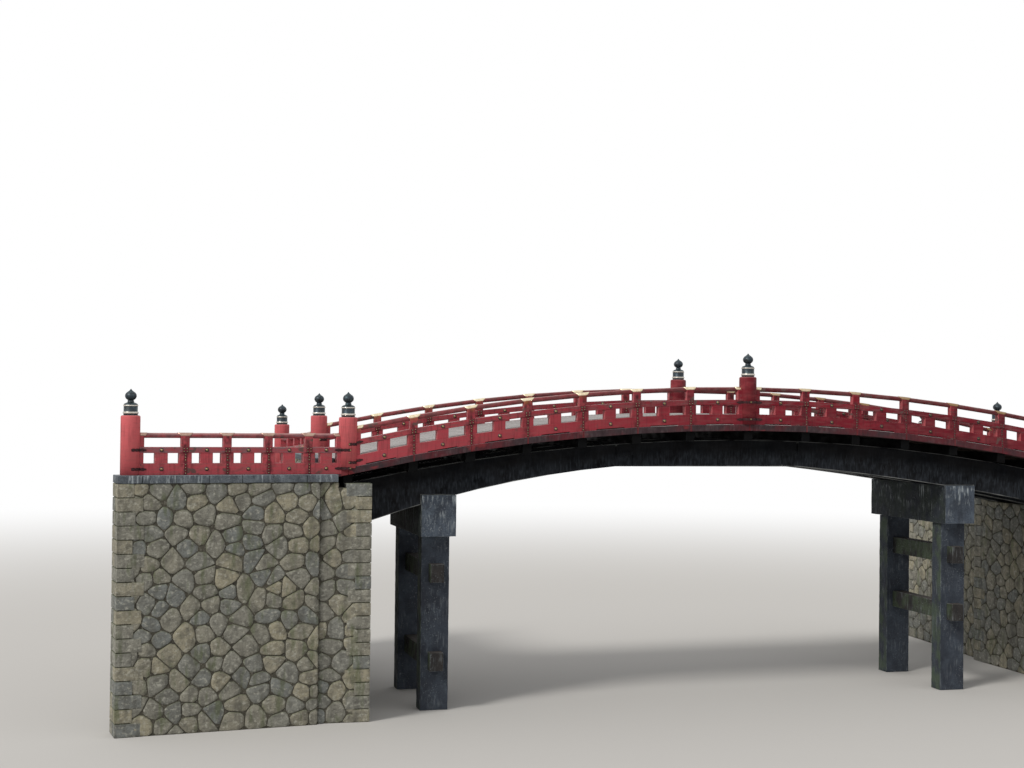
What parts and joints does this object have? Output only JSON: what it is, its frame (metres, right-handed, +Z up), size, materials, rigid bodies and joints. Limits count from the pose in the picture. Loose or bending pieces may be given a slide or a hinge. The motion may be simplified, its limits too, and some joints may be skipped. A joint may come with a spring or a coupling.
{
  "type": "arched timber footbridge on stone piers",
  "caption": "Red arched timber bridge with panelled railings and onion-capped round posts, on black beams, tied stone piers and masonry abutments.",
  "frame": {"origin": "middle of the whole outline on the ground, at the level of the pier feet", "axes": "+X runs along the bridge towards the east end, +Y across it to the far side, +Z up"},
  "size_m": [38.9144, 15.6768, 12.17],
  "materials": {
    "red_timber": "vermilion lacquer paint, satin, slightly dusty",
    "worn_red_timber": "red paint weathered through to grey-brown timber",
    "black_timber": "black lacquer with grey dust streaks",
    "raw_timber": "unpainted sawn timber in shade",
    "deck_timber": "silvered deck boards",
    "gilt": "pale gilt sheet metal",
    "dark_bronze": "dark green-black patinated bronze with gilt bands",
    "dressed_stone": "tooled granite, dark with damp and lichen",
    "masonry": "coursed rubble masonry with moss"
  },
  "bodies": {
    "root": {"west_abutment": "masonry", "east_abutment": "masonry", "near_west_wing_wall": "masonry", "far_west_wing_wall": "masonry", "near_east_wing_wall": "masonry", "far_east_wing_wall": "masonry", "wing_copings": "dressed_stone", "west_pier_near_column": "dressed_stone", "west_pier_far_column": "dressed_stone", "west_pier_cap": "dressed_stone", "west_pier_ties": "dressed_stone", "east_pier_near_column": "dressed_stone", "east_pier_far_column": "dressed_stone", "east_pier_cap": "dressed_stone", "east_pier_ties": "dressed_stone", "west_main_beams": "black_timber", "middle_main_beams": "black_timber", "east_main_beams": "black_timber", "cross_beams": "black_timber", "deck_bearers": "raw_timber", "deck_boards": "deck_timber", "near_edge_beam": "worn_red_timber", "far_edge_beam": "worn_red_timber", "near_lower_rail": "red_timber", "far_lower_rail": "red_timber", "near_struts": "red_timber", "far_struts": "red_timber", "near_middle_rail": "red_timber", "far_middle_rail": "red_timber", "near_small_posts": "red_timber", "far_small_posts": "red_timber", "near_handrail": "red_timber", "far_handrail": "red_timber", "near_saddles": "gilt", "far_saddles": "gilt", "near_round_posts": "red_timber", "far_round_posts": "red_timber", "near_post_caps": "dark_bronze", "far_post_caps": "dark_bronze", "near_west_wing_railing": "red_timber", "far_west_wing_railing": "red_timber", "near_east_wing_railing": "red_timber", "far_east_wing_railing": "red_timber"}
  },
  "joints": []
}
